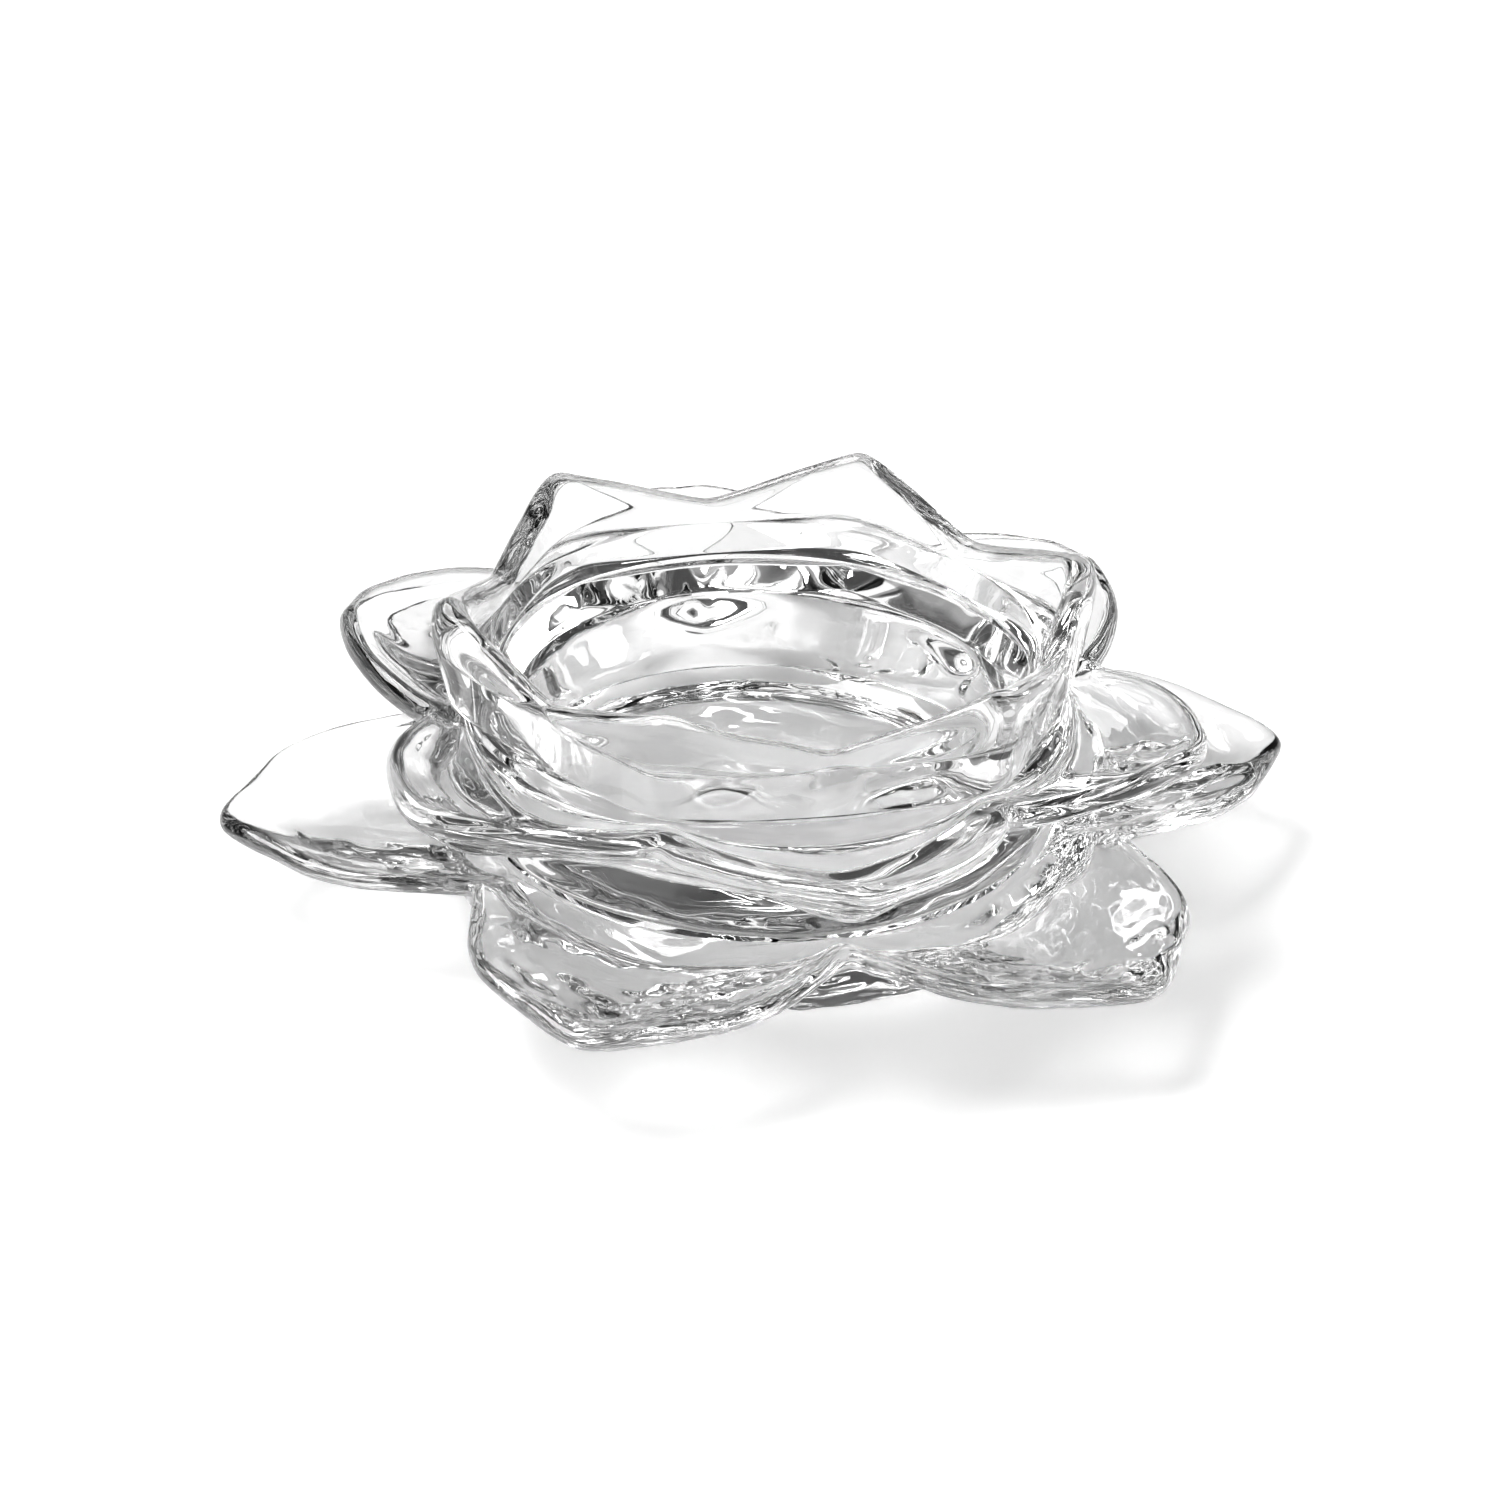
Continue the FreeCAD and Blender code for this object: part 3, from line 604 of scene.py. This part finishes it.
class LOTUS_OT_crown(bpy.types.Operator):
    """Make the upright hexagonal crown with its zigzag lip"""

    bl_idname = "lotus.crown"
    bl_label = "Crown"

    def execute(self, context):
        size = in_mm(context.scene.lotus_crown)
        joint = CROWN_LOW.z
        mouth = context.scene.lotus_bowl.mouth / MM
        shoulder = 20.1
        peak = 31.3
        flat, wall = size["flat"], size["wall"]
        outer = np.array((
            (shoulder, 0.980, 12), (23.4, 0.993, 16), (28.0, 1.0, 30), (33.0, 0.962, 36)))
        ledge = joint + size["ledge_rise"]
        inner = np.array(((ledge, 0.994, 16), (28.0, 0.986, 34), (33.0, 0.905, 40)))

        def wall_at(table, level, radius, turn):
            out = eased(level, table[:, 0], table[:, 1])
            sharp = eased(level, table[:, 0], table[:, 2])
            return np.array([hexagon(turn, radius * o, s) for o, s in zip(out, sharp)])

        def outline(turn):
            off = SECTOR / 2 - abs(turn)
            along = math.sqrt((flat * math.tan(off)) ** 2 + 0.8 ** 2) - 0.8
            full = flat * math.tan(SECTOR / 2) - 0.8
            lip = joint + size["valley"] + (peak - joint - size["valley"]) * min(along / full, 1)
            z = np.linspace(shoulder, lip - LIP_ROUND, 60)
            outside = np.column_stack((wall_at(outer, z, flat, turn), z))
            z = np.linspace(lip - LIP_ROUND, ledge, 50)
            inside = np.column_stack((wall_at(inner, z, flat - wall, turn), z))
            start, end = outside[-1], inside[0]
            middle, half = (start[0] + end[0]) / 2, (start[0] - end[0]) / 2
            bend = np.linspace(0, math.pi, 17)
            top = np.column_stack((
                middle + half * np.cos(bend), start[1] + LIP_ROUND * np.sin(bend)))
            foot = np.array((
                (mouth, joint), (size["spigot"], joint), (size["spigot"], shoulder)))
            # The corners of the crown hang over the bowl's shoulder, outside the covered part.
            step = np.array(((size["spigot"], shoulder), (COVERED, shoulder)))
            overhang = np.array(((COVERED, shoulder), outside[0]))
            seat = np.array((inside[-1], (size["ledge"], ledge)))
            bore = np.array(((size["ledge"], ledge), (mouth, joint)))
            return [(foot, BONDED), (step, BONDED), (overhang, FREE), (outside, FREE),
                    (top, FREE), (inside, FREE), (seat, FREE), (bore, FREE)]

        turns = sector_turns(64)
        grid, skins = sector_grid(outline, turns, 0.3, 4, 3, True)
        mesh = sector_mesh("crown_sector", grid, turns, skins, True)
        pressing = context.scene.lotus_pressing
        whole_tier("pressed_crown", mesh, "petal_crown", pressing.crown_wave_depth,
                   pressing.crown_wave_width, pressing.seed + 40)
        return {"FINISHED"}


class LOTUS_OT_bond_films(bpy.types.Operator):
    """Give the two films of adhesive their finish"""

    bl_idname = "lotus.bond_films"
    bl_label = "Bond films"

    def execute(self, context):
        for name in ("lower_bond_film", "upper_bond_film"):
            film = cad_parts[name]
            film.data.materials.clear()
            film.data.materials.append(cured_adhesive())
        return {"FINISHED"}


class LotusStudio(bpy.types.PropertyGroup):
    """Light and floor of the stage."""

    wall: bpy.props.FloatProperty(
        name="Wall", description="Brightness of the wall round the stage", default=0.4)
    wall_top: bpy.props.FloatProperty(
        name="Wall top", description="Sine of the angle at which the wall starts to dim",
        default=0.08)
    ceiling: bpy.props.FloatProperty(
        name="Ceiling", description="Brightness of the dim ceiling", default=0.06)
    floor_lift: bpy.props.FloatProperty(
        name="Floor lift", description="What brings the floor up to white for the camera",
        default=0.5)
    glass_lift: bpy.props.FloatProperty(
        name="Floor lift in glass", description="The same for the floor seen in or through glass",
        default=0.25)
    lamp_power: bpy.props.FloatProperty(
        name="Lamp power", description="Power of the large soft lamp", default=16.0, unit="POWER")


PHOTO_SIDE = 1500
TARGET_PIXEL = (762.25, 776.2)
FOCAL_PIXELS = 4643.0
CAMERA_DISTANCE = 465.8
CAMERA_DIRECTION = (-0.2037, -0.8576, 0.4722)
CAMERA_ROLL = 1.917
TARGET_HEIGHT = 9.0
SENSOR = 36.0


def set_camera():
    """A camera at the photograph's angle and framing."""
    data = bpy.data.cameras.new("Photo camera")
    data.sensor_width = SENSOR
    data.lens = FOCAL_PIXELS / PHOTO_SIDE * SENSOR
    data.shift_x = (PHOTO_SIDE / 2 - TARGET_PIXEL[0]) / PHOTO_SIDE
    data.shift_y = (TARGET_PIXEL[1] - PHOTO_SIDE / 2) / PHOTO_SIDE
    data.clip_start = 0.01
    back = Vector(CAMERA_DIRECTION).normalized()
    right = Vector((0, 0, 1)).cross(back).normalized()
    up = back.cross(right)
    roll = math.radians(CAMERA_ROLL)
    turned_right = right * math.cos(roll) + up * math.sin(roll)
    turned_up = up * math.cos(roll) - right * math.sin(roll)
    rotation = Matrix((turned_right, turned_up, back)).transposed()
    camera = bpy.data.objects.new("Photo camera", data)
    spot = Vector((0, 0, TARGET_HEIGHT)) + back * CAMERA_DISTANCE
    camera.matrix_world = Matrix.Translation(spot * MM) @ rotation.to_4x4()
    bpy.context.scene.collection.objects.link(camera)
    bpy.context.scene.camera = camera


def pale_board(studio):
    """Matt white board: white where it is seen, and it still takes the object's shadow."""
    finish = bpy.context.scene.lotus_finish
    material, tree = new_material("Matt white board")
    matt = add_node(tree, "ShaderNodeBsdfDiffuse", {"Color": linear(finish.floor)})
    path = add_node(tree, "ShaderNodeLightPath").outputs
    mirrored = add_node(tree, "ShaderNodeMath", {
        0: path["Is Glossy Ray"], 1: path["Is Transmission Ray"]}, operation="MAXIMUM")
    through = add_node(tree, "ShaderNodeMath", {
        0: mirrored.outputs[0], 1: studio.glass_lift}, operation="MULTIPLY")
    straight = add_node(tree, "ShaderNodeMath", {
        0: path["Is Camera Ray"], 1: studio.floor_lift}, operation="MULTIPLY")
    lift = add_node(tree, "ShaderNodeMath", {
        0: through.outputs[0], 1: straight.outputs[0]}, operation="MAXIMUM")
    glow = add_node(tree, "ShaderNodeEmission", {
        "Color": (1, 1, 1, 1), "Strength": lift.outputs[0]})
    both = add_node(tree, "ShaderNodeAddShader", {0: matt.outputs[0], 1: glow.outputs[0]})
    add_node(tree, "ShaderNodeOutputMaterial", {"Surface": both.outputs[0]})
    return material


def set_world(studio):
    """A pale wall at the horizon that dims towards the ceiling."""
    world = bpy.data.worlds.new("Studio")
    bpy.context.scene.world = world
    world.use_nodes = True
    tree = world.node_tree
    tree.nodes.clear()
    place = add_node(tree, "ShaderNodeTexCoord")
    parts = add_node(tree, "ShaderNodeSeparateXYZ", {0: place.outputs["Generated"]})
    fade = add_node(tree, "ShaderNodeMapRange", {
        "Value": parts.outputs["Z"], "From Min": studio.wall_top, "From Max": studio.wall_top + 0.2,
        "To Min": studio.wall, "To Max": studio.ceiling}, interpolation_type="SMOOTHSTEP")
    path = add_node(tree, "ShaderNodeLightPath").outputs
    seen = add_node(tree, "ShaderNodeMath", {
        0: path["Is Camera Ray"], 1: fade.outputs[0]}, operation="MAXIMUM")
    light = add_node(tree, "ShaderNodeBackground", {
        "Color": (1, 1, 1, 1), "Strength": seen.outputs[0]})
    add_node(tree, "ShaderNodeOutputWorld", {"Surface": light.outputs[0]})


def add_lamp(name, place, aim, width, depth, power):
    data = bpy.data.lights.new(name, "AREA")
    data.shape = "RECTANGLE"
    data.size, data.size_y = width, depth
    data.energy = power
    lamp = bpy.data.objects.new(name, data)
    lamp.location = place
    lamp.rotation_euler = (Vector(aim) - Vector(place)).to_track_quat("-Z", "Y").to_euler()
    bpy.context.scene.collection.objects.link(lamp)
    return lamp


class LOTUS_OT_stage(bpy.types.Operator):
    """Set the floor, the light and the camera"""

    bl_idname = "lotus.stage"
    bl_label = "Stage"

    def execute(self, context):
        studio = context.scene.lotus_studio
        # The card lies a tenth of a millimetre under the foot, so the two faces never coincide.
        reach, level = 1.2, -0.1 * MM
        mesh = bpy.data.meshes.new("floor")
        corners = [(-reach, -reach, level), (reach, -reach, level), (reach, reach, level),
                   (-reach, reach, level)]
        mesh.from_pydata(corners, [], [(0, 1, 2, 3)])
        floor = bpy.data.objects.new("floor", mesh)
        floor.data.materials.append(pale_board(studio))
        context.scene.collection.objects.link(floor)
        set_world(studio)
        add_lamp("Large soft lamp", (-0.45, 0.45, 1.0), (0, 0, 0), 0.8, 0.6, studio.lamp_power)
        set_camera()
        context.scene.view_settings.view_transform = "Standard"
        context.scene.cycles.max_bounces = 32
        context.scene.cycles.transmission_bounces = 32
        context.scene.cycles.glossy_bounces = 7
        context.scene.cycles.transparent_max_bounces = 32
        return {"FINISHED"}


class VIEW3D_PT_lotus(bpy.types.Panel):
    """Sizes, finish and pieces of the lotus candle bowl"""

    bl_idname = "VIEW3D_PT_lotus"
    bl_label = "Lotus candle bowl"
    bl_space_type = "VIEW_3D"
    bl_region_type = "UI"
    bl_category = "Lotus"

    def draw(self, context):
        for group in GROUPS:
            box = self.layout.box()
            box.label(text=group.__doc__)
            values = getattr(context.scene, GROUPS[group])
            for key in group.__annotations__:
                box.prop(values, key)
        for operator in OPERATORS:
            self.layout.operator(operator.bl_idname)


GROUPS = {
    LotusDishSizes: "lotus_dish",
    LotusBowlSizes: "lotus_bowl",
    LotusCrownSizes: "lotus_crown",
    LotusPressing: "lotus_pressing",
    LotusFinish: "lotus_finish",
    LotusStudio: "lotus_studio",
}
OPERATORS = (
    LOTUS_OT_lower_dish,
    LOTUS_OT_middle_bowl,
    LOTUS_OT_crown,
    LOTUS_OT_bond_films,
    LOTUS_OT_stage,
)


def register():
    for group, name in GROUPS.items():
        bpy.utils.register_class(group)
        setattr(bpy.types.Scene, name, bpy.props.PointerProperty(type=group))
    for operator in OPERATORS:
        bpy.utils.register_class(operator)
    bpy.utils.register_class(VIEW3D_PT_lotus)


def unregister():
    bpy.utils.unregister_class(VIEW3D_PT_lotus)
    for operator in reversed(OPERATORS):
        bpy.utils.unregister_class(operator)
    for group, name in GROUPS.items():
        delattr(bpy.types.Scene, name)
        bpy.utils.unregister_class(group)


def main():
    register()
    for operator in OPERATORS:
        family, name = operator.bl_idname.split(".")
        getattr(getattr(bpy.ops, family), name)()


if __name__ == "__main__":
    main()
